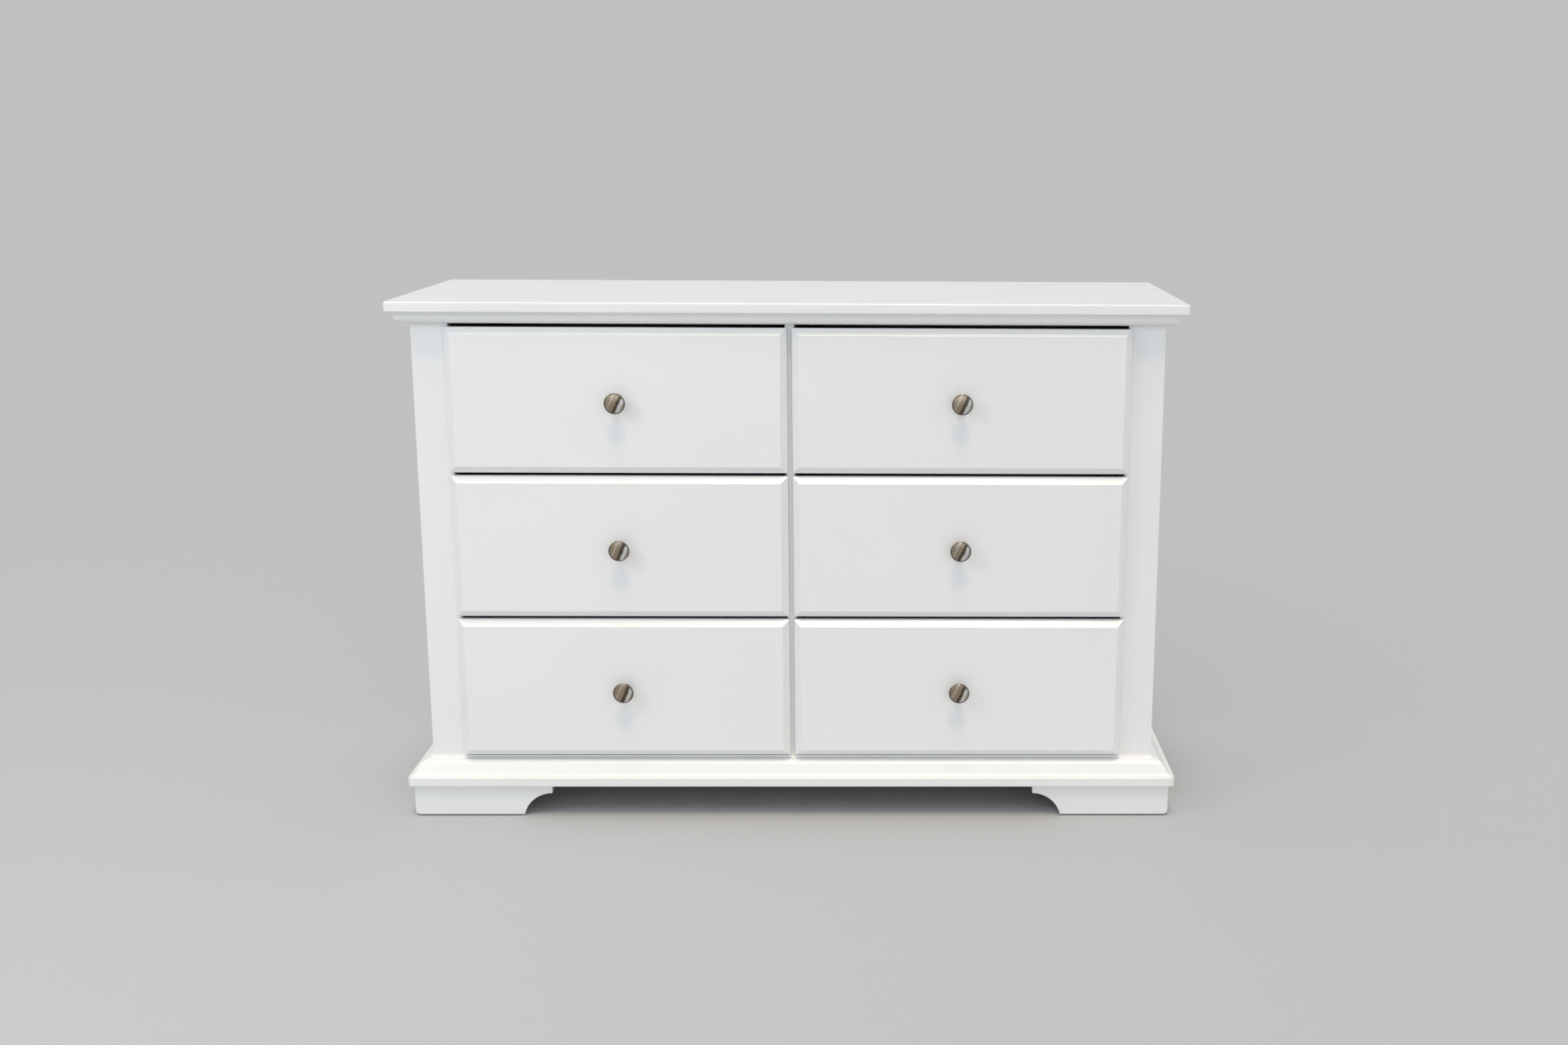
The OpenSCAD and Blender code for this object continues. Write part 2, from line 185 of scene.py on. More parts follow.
def combine(piece, other, operation):
    # joins or cuts a piece with another closed shape, which is then thrown away
    makeActive(piece)
    modifier = piece.modifiers.new("combine", "BOOLEAN")
    modifier.operation = operation
    modifier.solver = "EXACT"
    modifier.object = other
    bpy.ops.object.modifier_apply(modifier="combine")
    bpy.data.objects.remove(other)
    return piece


def movePiece(piece, offset=(0, 0, 0), mirrored=False):
    piece.location = offset
    if mirrored:
        piece.scale.x = -1
    return placePiece(piece, piece.name)


def copyPiece(source, name, offset=(0, 0, 0), mirrored=False):
    makeActive(source)
    bpy.ops.object.duplicate(linked=False)
    piece = bpy.context.active_object
    piece.name = name
    return movePiece(piece, offset, mirrored)


def joinPieces(name, parts):
    clearSelection()
    for part in parts:
        part.select_set(True)
    bpy.context.view_layer.objects.active = parts[0]
    if len(parts) > 1:
        bpy.ops.object.join()
    return placePiece(parts[0], name)


def copyNode(node, name):
    # a merged copy of a CAD node's own mesh, with its flat faces whole again
    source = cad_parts[node]
    piece = bpy.data.objects.new(name, source.data.copy())
    bpy.context.scene.collection.objects.link(piece)
    startEdit(piece)
    bpy.ops.mesh.select_all(action="SELECT")
    bpy.ops.mesh.remove_doubles(threshold=0.01 * mm)
    bpy.ops.mesh.dissolve_limited(angle_limit=math.radians(1))
    endEdit()
    return placePiece(piece, name)


def solidBoxes(node):
    # lowest and highest corner of each separate solid in a node
    mesh = bmesh.new()
    mesh.from_mesh(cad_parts[node].data)
    bmesh.ops.remove_doubles(mesh, verts=mesh.verts, dist=0.01 * mm)
    boxes, seen = [], set()
    for start in mesh.verts:
        if start in seen:
            continue
        solid, waiting = [], [start]
        seen.add(start)
        while waiting:
            vertex = waiting.pop()
            solid.append(vertex.co.copy())
            for edge in vertex.link_edges:
                other = edge.other_vert(vertex)
                if other not in seen:
                    seen.add(other)
                    waiting.append(other)
        low = Vector([min(point[i] for point in solid) for i in range(3)])
        high = Vector([max(point[i] for point in solid) for i in range(3)])
        boxes.append((low, high))
    mesh.free()
    return sorted(boxes, key=lambda box: tuple(box[0]))


def arcPoints(centreX, centreY, radiusX, radiusY, start, end, steps=12):
    angles = [math.radians(start + (end - start) * i / steps) for i in range(steps + 1)]
    return [(centreX + radiusX * math.cos(a), centreY + radiusY * math.sin(a)) for a in angles]


def finishPiece(piece, material, body, nodes=(), angle=35):
    # even normals, soft shading that keeps flats flat, then the finish and the body it rides on
    weld(piece, 0.002 * mm)
    bpy.ops.object.shade_smooth_by_angle(angle=math.radians(angle))
    modifier = piece.modifiers.new("flats", "WEIGHTED_NORMAL")
    modifier.keep_sharp = True
    bpy.ops.object.modifier_apply(modifier="flats")
    if material:
        piece.data.materials.clear()
        piece.data.materials.append(material)
    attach(piece, body)
    if nodes:
        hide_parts(*nodes)
    return piece


# Finishes

def newMaterial(name):
    material = bpy.data.materials.new(name)
    material.use_nodes = True
    tree = material.node_tree
    return material, tree, tree.nodes["Principled BSDF"]


def addNode(tree, kind, **inputs):
    node = tree.nodes.new(kind)
    for name, value in inputs.items():
        node.inputs[name].default_value = value
    return node


def objectPlace(tree, stretch=(1, 1, 1), turn=(0, 0, 0)):
    place = tree.nodes.new("ShaderNodeTexCoord")
    mapping = tree.nodes.new("ShaderNodeMapping")
    mapping.inputs["Scale"].default_value = stretch
    mapping.inputs["Rotation"].default_value = turn
    tree.links.new(place.outputs["Object"], mapping.inputs["Vector"])
    return mapping.outputs["Vector"]


def addNoise(tree, vector, scale, detail=3.0, roughness=0.5, distortion=0.0):
    noise = addNode(
        tree, "ShaderNodeTexNoise", Scale=scale, Detail=detail, Roughness=roughness, Distortion=distortion
    )
    tree.links.new(vector, noise.inputs["Vector"])
    return noise.outputs["Fac"]


def addRamp(tree, value, stops):
    ramp = tree.nodes.new("ShaderNodeValToRGB")
    tree.links.new(value, ramp.inputs["Fac"])
    elements = ramp.color_ramp.elements
    while len(elements) < len(stops):
        elements.new(0.5)
    for element, (place, colour) in zip(elements, stops):
        element.position = place
        element.color = (*colour, 1)
    return ramp.outputs["Color"]


def mapValue(tree, value, low, high, fromLow=0.3, fromHigh=0.7):
    ranged = tree.nodes.new("ShaderNodeMapRange")
    for name, number in (("From Min", fromLow), ("From Max", fromHigh), ("To Min", low), ("To Max", high)):
        ranged.inputs[name].default_value = number
    tree.links.new(value, ranged.inputs["Value"])
    return ranged.outputs["Result"]


def mixColours(tree, factor, first, second, blend="MIX"):
    mix = tree.nodes.new("ShaderNodeMix")
    mix.data_type = "RGBA"
    mix.blend_type = blend
    for socket, value in ((mix.inputs[0], factor), (mix.inputs[6], first), (mix.inputs[7], second)):
        if isinstance(value, bpy.types.NodeSocket):
            tree.links.new(value, socket)
        else:
            socket.default_value = value
    return mix.outputs[2]


def addBump(tree, height, strength, distance, under=None):
    bump = addNode(tree, "ShaderNodeBump", Strength=strength, Distance=distance)
    tree.links.new(height, bump.inputs["Height"])
    if under:
        tree.links.new(under, bump.inputs["Normal"])
    return bump.outputs["Normal"]


lacquer = {
    "light": (0.845, 0.842, 0.836),
    "deep": (0.826, 0.825, 0.82),
    "gloss": (0.28, 0.34),  # roughness from the best to the dullest spots
    "handlingScale": 9,
    "coat": 0.5,
    "coatRoughness": 0.2,
    "driftScale": 2.4,
    "peelScale": 380,  # orange peel left by the spray gun
    "peelDepth": 0.004 * mm,
    "flowScale": 22,
    "flowDepth": 0.016 * mm,
}


def makeLacquer():
    material, tree, shader = newMaterial("whiteLacquer")
    place = objectPlace(tree)
    drift = addNoise(tree, place, lacquer["driftScale"], detail=4)
    colour = addRamp(tree, drift, [(0.35, lacquer["deep"]), (0.65, lacquer["light"])])
    tree.links.new(colour, shader.inputs["Base Color"])
    handling = addNoise(tree, place, lacquer["handlingScale"], detail=2)
    tree.links.new(mapValue(tree, handling, *lacquer["gloss"], 0.2, 0.8), shader.inputs["Roughness"])
    waves = addNoise(tree, place, lacquer["flowScale"], detail=2)
    pits = addNoise(tree, place, lacquer["peelScale"], detail=2)
    flow = addBump(tree, waves, 0.35, lacquer["flowDepth"])
    peel = addBump(tree, pits, 0.5, lacquer["peelDepth"], flow)
    tree.links.new(peel, shader.inputs["Normal"])
    shader.inputs["Coat Weight"].default_value = lacquer["coat"]
    shader.inputs["Coat Roughness"].default_value = lacquer["coatRoughness"]
    return material


timber = {
    "pale": (0.66, 0.50, 0.33),
    "mid": (0.55, 0.38, 0.225),
    "dark": (0.40, 0.25, 0.135),
    "stretch": 0.05,  # how much longer than wide the grain is
    "ringScale": 30,
    "poreScale": 620,
}


def makeTimber(name, along):
    # pale drawer-side timber whose grain runs along one axis
    material, tree, shader = newMaterial(name)
    stretch = [1, 1, 1]
    stretch[along] = timber["stretch"]
    place = objectPlace(tree, stretch)
    rings = addNoise(tree, place, timber["ringScale"], detail=6, roughness=0.55, distortion=1.4)
    fibres = addNoise(tree, place, timber["poreScale"], detail=3, roughness=0.7)
    colour = addRamp(tree, rings, [(0.32, timber["dark"]), (0.5, timber["mid"]), (0.66, timber["pale"])])
    fleck = addRamp(tree, fibres, [(0.38, (0.62, 0.55, 0.48)), (0.56, (1, 1, 1))])
    tree.links.new(mixColours(tree, 0.45, colour, fleck, "MULTIPLY"), shader.inputs["Base Color"])
    tree.links.new(mapValue(tree, fibres, 0.62, 0.44), shader.inputs["Roughness"])
    tree.links.new(addBump(tree, fibres, 0.35, 0.12 * mm), shader.inputs["Normal"])
    return material


plywood = {
    "pale": (0.70, 0.57, 0.40),
    "mid": (0.60, 0.46, 0.30),
    "dark": (0.47, 0.33, 0.20),
    "figureScale": 11,
    "fleckScale": 480,
}


def makePlywood():
    # rotary-cut face veneer: broad wandering figure with short dark flecks
    material, tree, shader = newMaterial("drawerPlywood")
    broad = objectPlace(tree, (0.16, 1, 1))
    narrow = objectPlace(tree, (0.06, 1, 1))
    figure = addNoise(tree, broad, plywood["figureScale"], detail=5, roughness=0.5, distortion=2.6)
    flecks = addNoise(tree, narrow, plywood["fleckScale"], detail=2, roughness=0.6)
    colour = addRamp(tree, figure, [(0.34, plywood["dark"]), (0.5, plywood["mid"]), (0.62, plywood["pale"])])
    fleck = addRamp(tree, flecks, [(0.36, (0.66, 0.58, 0.5)), (0.5, (1, 1, 1))])
    tree.links.new(mixColours(tree, 0.4, colour, fleck, "MULTIPLY"), shader.inputs["Base Color"])
    tree.links.new(mapValue(tree, flecks, 0.6, 0.45), shader.inputs["Roughness"])
    tree.links.new(addBump(tree, flecks, 0.3, 0.08 * mm), shader.inputs["Normal"])
    return material


fibreboard = {
    "light": (0.50, 0.37, 0.245),
    "dark": (0.36, 0.255, 0.16),
    "chip": (0.62, 0.49, 0.34),
    "fibreScale": 260,
    "chipScale": 150,
    "cloudScale": 9,
}


def makeFibreboard():
    # pressed board: fine fibres with scattered pale chips
    material, tree, shader = newMaterial("caseBoard")
    place = objectPlace(tree)
    fibres = addNoise(tree, place, fibreboard["fibreScale"], detail=5, roughness=0.7)
    cloud = addNoise(tree, place, fibreboard["cloudScale"], detail=3)
    colour = addRamp(tree, fibres, [(0.36, fibreboard["dark"]), (0.64, fibreboard["light"])])
    chips = tree.nodes.new("ShaderNodeTexVoronoi")
    chips.inputs["Scale"].default_value = fibreboard["chipScale"]
    tree.links.new(place, chips.inputs["Vector"])
    chipMask = mapValue(tree, chips.outputs["Distance"], 0.5, 0.0, 0.12, 0.3)
    chipped = mixColours(tree, chipMask, colour, (*fibreboard["chip"], 1))
    shade = addRamp(tree, cloud, [(0.3, (0.8, 0.8, 0.8)), (0.7, (1, 1, 1))])
    tree.links.new(mixColours(tree, 0.25, chipped, shade, "MULTIPLY"), shader.inputs["Base Color"])
    tree.links.new(mapValue(tree, fibres, 0.82, 0.6), shader.inputs["Roughness"])
    tree.links.new(addBump(tree, fibres, 0.4, 0.1 * mm), shader.inputs["Normal"])
    return material


hardboard = {
    "light": (0.385, 0.265, 0.165),
    "dark": (0.335, 0.225, 0.138),
    "cloudScale": 7,
    "fibreScale": 700,
}


def makeHardboard():
    # smooth tempered hardboard, cloudy brown with fine dark fibres
    material, tree, shader = newMaterial("backHardboard")
    place = objectPlace(tree)
    upright = objectPlace(tree, (1, 1, 0.3))
    cloud = addNoise(tree, place, hardboard["cloudScale"], detail=5, roughness=0.6)
    fibres = addNoise(tree, upright, hardboard["fibreScale"], detail=3, roughness=0.7)
    colour = addRamp(tree, cloud, [(0.3, hardboard["dark"]), (0.7, hardboard["light"])])
    fleck = addRamp(tree, fibres, [(0.4, (0.55, 0.5, 0.45)), (0.58, (1, 1, 1))])
    tree.links.new(mixColours(tree, 0.5, colour, fleck, "MULTIPLY"), shader.inputs["Base Color"])
    tree.links.new(mapValue(tree, cloud, 0.42, 0.58), shader.inputs["Roughness"])
    tree.links.new(addBump(tree, fibres, 0.35, 0.06 * mm), shader.inputs["Normal"])
    return material


nickel = {
    "pale": (0.84, 0.86, 0.90),
    "light": (0.56, 0.50, 0.42),
    "warm": (0.37, 0.295, 0.215),
    "dark": (0.10, 0.082, 0.062),
    "lineScale": 60,
    "wanderScale": 90,
    "wander": 0.03,  # how far the bands stray from straight
    # painted reflection bands across the brushing, from the lower left edge to the upper right
    "paintedReflectionBands": (
        (0.0, "warm"), (0.2, "warm"), (0.29, "light"), (0.37, "warm"), (0.5, "warm"), (0.57, "dark"),
        (0.65, "dark"), (0.71, "light"), (0.76, "pale"), (0.8, "pale"), (0.87, "light"), (1.0, "warm"),
    ),
    "rimPaintedShadeColour": (0.16, 0.15, 0.14),  # painted shade and dark reflection on the ring round the face
}


def makeNickel():
    # satin nickel brushed in one direction, with painted reflection bands in long soft stripes across it and
    # fine brushing lines
    material, tree, shader = newMaterial("brushedNickel")
    across = tree.nodes.new("ShaderNodeAttribute")
    across.attribute_name = "acrossBrushing"
    wander = addNoise(tree, objectPlace(tree), nickel["wanderScale"], detail=2)
    shift = tree.nodes.new("ShaderNodeMath")
    shift.operation = "ADD"
    tree.links.new(across.outputs["Fac"], shift.inputs[0])
    tree.links.new(mapValue(tree, wander, -nickel["wander"], nickel["wander"]), shift.inputs[1])
    # painted reflections: light and dark bands put into the base colour
    paintedReflectionBands = addRamp(tree, shift.outputs["Value"], [(place, nickel[tone]) for place, tone in nickel["paintedReflectionBands"]])
    fine = tree.nodes.new("ShaderNodeTexNoise")
    fine.noise_dimensions = "1D"
    fine.inputs["Scale"].default_value = nickel["lineScale"]
    fine.inputs["Detail"].default_value = 4
    tree.links.new(across.outputs["Fac"], fine.inputs["W"])
    lines = fine.outputs["Fac"]
    streak = addRamp(tree, lines, [(0.35, (0.78, 0.77, 0.76)), (0.6, (1, 1, 1))])
    reflectionsAndLines = mixColours(tree, 0.7, paintedReflectionBands, streak, "MULTIPLY")
    # painted shade on the ring round the face, left lighter where a painted highlight falls
    rim = tree.nodes.new("ShaderNodeAttribute")
    rim.attribute_name = "rimPaintedShade"
    shaded = mixColours(tree, rim.outputs["Fac"], reflectionsAndLines, (*nickel["rimPaintedShadeColour"], 1))
    tree.links.new(shaded, shader.inputs["Base Color"])
    tree.links.new(mapValue(tree, lines, 0.2, 0.34), shader.inputs["Roughness"])
    tree.links.new(addBump(tree, lines, 0.15, 0.02 * mm), shader.inputs["Normal"])
    shader.inputs["Metallic"].default_value = 1
    shader.inputs["Anisotropic"].default_value = 0.4
    return material


zinc = {
    "spangleScale": 120,
    "lineScale": 800,
    "dulled": 0.88,  # tone of the duller spots, as a share of the bright ones
}


def makeZinc(name, tone, roughness):
    # zinc-plated steel with faint spangle and drawing lines
    material, tree, shader = newMaterial(name)
    place = objectPlace(tree)
    drawn = objectPlace(tree, (1, 0.02, 1))
    spangle = addNoise(tree, place, zinc["spangleScale"], detail=3)
    lines = addNoise(tree, drawn, zinc["lineScale"], detail=2)
    dull = tuple(zinc["dulled"] * channel for channel in tone)
    tree.links.new(addRamp(tree, spangle, [(0.35, dull), (0.65, tone)]), shader.inputs["Base Color"])
    tree.links.new(mapValue(tree, lines, roughness, roughness + 0.16), shader.inputs["Roughness"])
    tree.links.new(addBump(tree, lines, 0.2, 0.02 * mm), shader.inputs["Normal"])
    shader.inputs["Metallic"].default_value = 1
    return material


nylon = {
    "clean": (0.72, 0.72, 0.70),
    "grimy": (0.52, 0.51, 0.48),
    "grimeScale": 160,
    "grainScale": 900,
}


def makeNylon():
    material, tree, shader = newMaterial("glideNylon")
    place = objectPlace(tree)
    grime = addNoise(tree, place, nylon["grimeScale"], detail=4, roughness=0.6)
    grain = addNoise(tree, place, nylon["grainScale"], detail=2)
    colour = addRamp(tree, grime, [(0.3, nylon["grimy"]), (0.6, nylon["clean"])])
    tree.links.new(colour, shader.inputs["Base Color"])
    tree.links.new(mapValue(tree, grime, 0.6, 0.42), shader.inputs["Roughness"])
    tree.links.new(addBump(tree, grain, 0.3, 0.03 * mm), shader.inputs["Normal"])
    return material


whiteLacquer = makeLacquer()
timberAcross = makeTimber("timberAcross", 0)
timberAlong = makeTimber("timberAlong", 1)
drawerPlywood = makePlywood()
caseBoard = makeFibreboard()
backHardboard = makeHardboard()
brushedNickel = makeNickel()
runnerZinc = makeZinc("runnerZinc", (0.60, 0.61, 0.63), 0.3)
screwZinc = makeZinc("screwZinc", (0.66, 0.64, 0.58), 0.26)
glideNylon = makeNylon()
print("finishes mixed")


# Studio

camera = {
    "place": (0.1555, -3.0941, 1.1542),
    "turn": 0.928,  # degrees towards +X
    "tilt": 12.365,  # degrees down
    "roll": 0.332,
    "lens": 40.18,
    "sensor": 36,
    "shift": -0.0807,
}
studio = {
    "backdrop": (0.527, 0.527, 0.527),
    "ambient": (0.65, 0.68, 0.72),
    "floor": (0.503, 0.512, 0.530),
    "floorSize": 200,
    "floorRoughness": 0.9,
    "floorShine": 0.1,
    "sunDistance": 6,
    "aimHeight": 0.45,
    # where it shines from, power, width in degrees, colour
    "suns": {
        "overhead": ((0.03, -0.40, 0.917), 0.62, 6, (1.0, 0.80, 0.52)),
        "ceiling": ((0, -0.194, 0.98), 0.62, 16, (1.0, 0.86, 0.70)),
        "fill": ((0.1, -1.0, 0), 0.87, 60, (0.88, 0.96, 1.0)),
    },
    "windowPlace": (-1.6, -1.5, 1.75),
    "windowSize": 0.6,
    "windowPower": 7.5,
    "windowColour": (0.86, 0.94, 1.0),
}


def aimAt(thing, target):
    thing.rotation_euler = (Vector(target) - thing.location).to_track_quat("-Z", "Y").to_euler()


def setCamera():
    data = bpy.data.cameras.new("camera")
    data.sensor_fit = "HORIZONTAL"
    data.sensor_width = camera["sensor"]
    data.lens = camera["lens"]
    data.shift_x = camera["shift"]
    data.clip_end = studio["floorSize"]
    holder = bpy.data.objects.new("camera", data)
    bpy.context.scene.collection.objects.link(holder)
    turn = Matrix.Rotation(math.radians(-camera["turn"]), 4, "Z")
    tilt = Matrix.Rotation(math.radians(90 - camera["tilt"]), 4, "X")
    roll = Matrix.Rotation(math.radians(camera["roll"]), 4, "Z")
    holder.matrix_world = Matrix.Translation(camera["place"]) @ turn @ tilt @ roll
    bpy.context.scene.camera = holder


def addLight(name, kind, place, target, power, colour):
    data = bpy.data.lights.new(name, kind)
    data.energy = power
    data.color = colour
    holder = bpy.data.objects.new(name, data)
    bpy.context.scene.collection.objects.link(holder)
    holder.location = place
    aimAt(holder, target)
    return data


def setLights():
    middle = (0, faceY, studio["aimHeight"])
    for name, (place, power, width, colour) in studio["suns"].items():
        sun = addLight(name, "SUN", Vector(place) * studio["sunDistance"], (0, 0, 0), power, colour)
        sun.angle = math.radians(width)
    window = addLight(
        "window", "AREA", studio["windowPlace"], middle, studio["windowPower"], studio["windowColour"]
    )
    window.size = studio["windowSize"]
    world = bpy.data.worlds.new("studio")
    bpy.context.scene.world = world
    world.use_nodes = True
    tree = world.node_tree
    ambient = tree.nodes["Background"]
    ambient.inputs["Color"].default_value = (*studio["ambient"], 1)
    backdrop = addNode(tree, "ShaderNodeBackground", Color=(*studio["backdrop"], 1))
    mix = tree.nodes.new("ShaderNodeMixShader")
    seen = tree.nodes.new("ShaderNodeLightPath")
    tree.links.new(seen.outputs["Is Camera Ray"], mix.inputs["Fac"])
    tree.links.new(ambient.outputs["Background"], mix.inputs[1])
    tree.links.new(backdrop.outputs["Background"], mix.inputs[2])
    tree.links.new(mix.outputs["Shader"], tree.nodes["World Output"].inputs["Surface"])


def setFloor():
    clearSelection()
    bpy.ops.mesh.primitive_plane_add(size=studio["floorSize"], location=(0, 0, 0))
    floor = bpy.context.active_object
    floor.name = "studio_floor"
    material, _, shader = newMaterial("studioFloor")
    shader.inputs["Base Color"].default_value = (*studio["floor"], 1)
    shader.inputs["Roughness"].default_value = studio["floorRoughness"]
    shader.inputs["Specular IOR Level"].default_value = studio["floorShine"]
    floor.data.materials.append(material)


setCamera()
setLights()
setFloor()
bpy.context.scene.view_settings.view_transform = "Standard"
print("studio set")


# Top slab

slab = {
    "cornerRadius": 6 * mm,
    "edgeRadius": 3 * mm,
}


def makeTop():
    low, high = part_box("top_panel")
    piece = addBlock("top_slab", low, high)

    def atFrontCorner(edge):
        first, last = (vertex.co for vertex in edge.verts)
        return max(first.y, last.y) < low.y + mm and abs(first.z - last.z) > mm

    easeEdges(piece, slab["cornerRadius"], 8, atFrontCorner)
    easeEdges(piece, slab["edgeRadius"], 4, lambda edge: isSharp(edge, 60))
    finishPiece(piece, whiteLacquer, "case", ["top_panel"])


makeTop()


# Crown and base mouldings: an outline as distance out from the case and height, run along and mitred

crown = {
    "lip": 2 * mm,
    "swellUp": 13 * mm,
    "shoulder": 5 * mm,  # how far the swell stays inside the fillet
    "step": 0.5 * mm,
    "coveWidth": 4 * mm,
    "fillet": 3 * mm,  # flat under the top
}
base = {
    "beadHeight": 15 * mm,
    "beadEase": 1 * mm,
    "hollowRadius": 12 * mm,  # runs out onto the bead
    "swell": (17 * mm, 21 * mm),  # rounded part above the hollow, out and up
    "coveRadius": 4 * mm,
    "coveOut": 6 * mm,
    "cornerRadius": 10 * mm,
    "cornerCuts": 9,
}


def crownOutline(out, height):
    lip, swell, cove = crown["lip"], crown["swellUp"], crown["swellUp"] + crown["step"]
    return [
        (0, 0), *arcPoints(lip, swell, out - lip - crown["shoulder"], swell, -90, 0, 16),
        *arcPoints(out, cove, crown["coveWidth"], height - cove - crown["fillet"], 180, 90),
        (out, height), (0, height),
    ]


def baseOutline(out, height):
    ease, bead, cove, hollow = base["beadEase"], base["beadHeight"], base["coveRadius"], base["hollowRadius"]
    swellOut, swellUp = base["swell"]
    return [
        (0, 0), *arcPoints(out - ease, ease, ease, ease, -90, 0, 3),
        *arcPoints(out - ease, bead - ease, ease, ease, 0, 84, 5),
        *arcPoints(out - ease, bead + hollow, hollow, hollow, 266, 214, 10),
        *arcPoints(base["coveOut"], height - cove - swellUp, swellOut, swellUp, 42, 90, 14),
        *arcPoints(base["coveOut"], height, cove, cove, 264, 180, 8),
        (0, height),
    ]


def roundCorner(piece, centreX, centreY, radius, cuts):
    # planes round a quarter turn take a front corner back to a radius
    for i in range(1, cuts):
        angle = math.radians(-90 + 90 * i / cuts)
        outward = Vector((math.cos(angle), math.sin(angle), 0))
        cutAt(piece, Vector((centreX, centreY, 0)) + radius * outward, outward)


def mouldingRuns(stem, nodeStem, outlineOf, roundRadius=0):
    low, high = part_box(f"{nodeStem}_front")
    out, bottom, height = faceY - low.y, low.z, high.z - low.z
    outline = outlineOf(out, height)
    reach = caseSide + out
    front = extrudeOutline(
        f"{stem}_front_run",
        [Vector((-reach, faceY - x, bottom + z)) for x, z in outline],
        (2 * reach, 0, 0),
    )
    cutAt(front, (caseSide, faceY, 0), (1, 1, 0))
    cutAt(front, (-caseSide, faceY, 0), (-1, 1, 0))
    right = extrudeOutline(
        f"{stem}_right_run",
        [Vector((caseSide + x, backY, bottom + z)) for x, z in outline],
        (0, faceY - out - backY, 0),
    )
    cutAt(right, (caseSide, faceY, 0), (-1, -1, 0))
    if roundRadius:
        centre = reach - roundRadius, faceY - out + roundRadius
        roundCorner(front, *centre, roundRadius, base["cornerCuts"])
        roundCorner(right, *centre, roundRadius, base["cornerCuts"])
        movePiece(front, mirrored=True)
        roundCorner(front, *centre, roundRadius, base["cornerCuts"])
    left = copyPiece(right, f"{stem}_left_run", mirrored=True)
    for piece, side in ((front, "front"), (right, "right"), (left, "left")):
        finishPiece(piece, whiteLacquer, "case", [f"{nodeStem}_{side}"])


mouldingRuns("crown", "crown", crownOutline)
mouldingRuns("base", "base_moulding", baseOutline, base["cornerRadius"])
print("mouldings run and mitred")


# Bracket feet

foot = {
    "thickness": 18 * mm,
    "clear": 3 * mm,
    "lip": 15.5 * mm,
    "curveRun": 49 * mm,
    "cornerRadius": 8 * mm,
    "ease": 1.2 * mm,
}


def footOutline(length):
    # distance along from the outer corner, and height
    rise = footTop - foot["lip"] - foot["clear"]
    radius = (foot["curveRun"] ** 2 + rise ** 2) / (2 * rise)
    spread = math.degrees(math.asin(foot["curveRun"] / radius))
    corner = foot["cornerRadius"]
    return [
        (0, footTop),
        *arcPoints(corner, foot["clear"] + corner, corner, corner, 180, 270, 8),
        *arcPoints(length, foot["clear"] + rise - radius, radius, radius, 90 + spread, 90, 16),
        (length, footTop),
    ]


def makeFrontFeet():
    low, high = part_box("front_foot_right")
    outer, front, thick = high.x, low.y, foot["thickness"]
    corner = (outer, front, 0)
    facing = extrudeOutline(
        "foot_facing", [Vector((outer - x, front, z)) for x, z in footOutline(high.x - low.x)], (0, thick, 0)
    )
    cutAt(facing, corner, (1, 1, 0), fill=False)
    returning = extrudeOutline(
        "foot_return", [Vector((outer, front + x, z)) for x, z in footOutline(high.y - low.y)], (-thick, 0, 0)
    )
    cutAt(returning, corner, (-1, -1, 0), fill=False)
    right = joinPieces("front_bracket_right", [facing, returning])
    weld(right)
    easeEdges(right, foot["ease"], 3, lambda edge: isSharp(edge, 50))
    left = copyPiece(right, "front_bracket_left", mirrored=True)
    finishPiece(right, whiteLacquer, "case", ["front_foot_right"])
    finishPiece(left, whiteLacquer, "case", ["front_foot_left"])


def makeRearFeet():
    low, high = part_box("rear_feet")
    outer, thick = high.x, foot["thickness"]
    length = high.y - low.y
    side = extrudeOutline(
        "rear_side", [Vector((outer, backY - x, z)) for x, z in footOutline(length)], (-thick, 0, 0)
    )
    easeEdges(side, foot["ease"], 3, lambda edge: isSharp(edge, 50))
    footBoards = [side]
    for low, high in solidBoxes("rear_feet"):
        if low.x > 0 and high.x - low.x > 2 * thick:
            back = addBlock("rear_back", low, high)
            easeEdges(back, foot["ease"], 3)
            footBoards.append(back)
    right = joinPieces("rear_right", footBoards)
    left = copyPiece(right, "rear_left", mirrored=True)
    both = joinPieces("rear_brackets", [right, left])
    finishPiece(both, whiteLacquer, "case", ["rear_feet"])


makeFrontFeet()
makeRearFeet()
print("feet cut")


# Case boards: copies of the frame's own boards with their edges eased and a finish of their own

boards = [
    # node, piece, finish, slot, ease
    ("side_panel_left", "left_side", whiteLacquer, "white_lacquer", 0.5),
    ("side_panel_right", "right_side", whiteLacquer, "white_lacquer", 0.5),
    ("stile_left", "left_stile", whiteLacquer, "white_lacquer", 0.8),
    ("stile_right", "right_stile", whiteLacquer, "white_lacquer", 0.8),
    ("centre_stile", "middle_stile", whiteLacquer, "white_lacquer", 1.2),
    ("face_rails", "top_and_base_rails", whiteLacquer, "white_lacquer", 0.8),
    ("partition", "middle_partition", caseBoard, "case_board", 0.6),
    ("bottom_panel", "case_bottom", caseBoard, "case_board", 0.6),
    ("back_panel", "case_back", backHardboard, "back_board", 0.4),
    ("back_rails", "case_back_rails", caseBoard, "case_board", 1.0),
    ("runner_cleats", "side_cleats", timberAlong, "raw_wood", 1.0),
    ("foot_blocks", "corner_blocks", timberAcross, "raw_wood", 1.2),
]

for node, name, finish, slotName, ease in boards:
    board = copyNode(node, name)
    easeEdges(board, ease * mm, 3)
    finishPiece(board, finish, "case", [node])
print("case boards eased")


# Panel pins that hold the back to the sides, the partition, the top and the bottom

